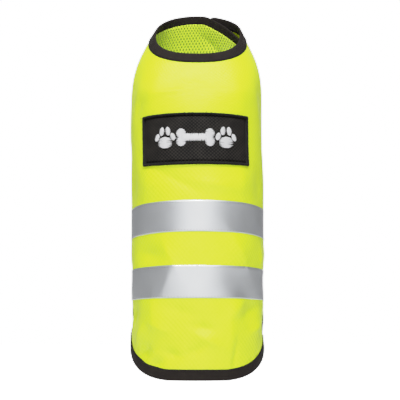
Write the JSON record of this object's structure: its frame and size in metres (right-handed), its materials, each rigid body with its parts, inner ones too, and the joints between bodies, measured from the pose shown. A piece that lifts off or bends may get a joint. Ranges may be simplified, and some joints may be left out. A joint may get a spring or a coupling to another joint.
{
  "type": "dog vest",
  "caption": "High-visibility vest for a small dog, filled out as worn, with reflective bands, bound edges, a back badge and closing chest and belly wings.",
  "frame": {"origin": "on the dog's trunk axis at the chest girth, where the wearer holds the vest", "axes": "+Z from the tail end to the neck along the back, +Y from the dog's back to its belly, +X to the right of someone who looks at the back badge"},
  "size_m": [0.135, 0.1294, 0.3757],
  "materials": {
    "hi_vis_cloth": "fluorescent yellow woven polyester",
    "mesh_lining": "yellow knitted mesh",
    "binding_tape": "black ribbed binding tape",
    "reflective_tape": "silver glass-bead reflective tape",
    "patch_cloth": "black woven cloth",
    "hook_and_loop": "black touch-and-close strip"
  },
  "bodies": {
    "root": {"back_panel": "hi_vis_cloth", "belly_hook": "hook_and_loop", "belly_loop": "hook_and_loop", "belly_wing_left": "hi_vis_cloth", "belly_wing_right": "hi_vis_cloth", "chest_hook": "hook_and_loop", "chest_loop": "hook_and_loop", "chest_wing_left": "hi_vis_cloth", "chest_wing_right": "hi_vis_cloth", "hem_binding": "binding_tape", "leg_binding_left": "binding_tape", "leg_binding_right": "binding_tape", "neck_binding": "binding_tape", "patch": "patch_cloth", "tape_front": "reflective_tape", "tape_rear": "reflective_tape", "throat_lining": "mesh_lining"}
  },
  "joints": []
}
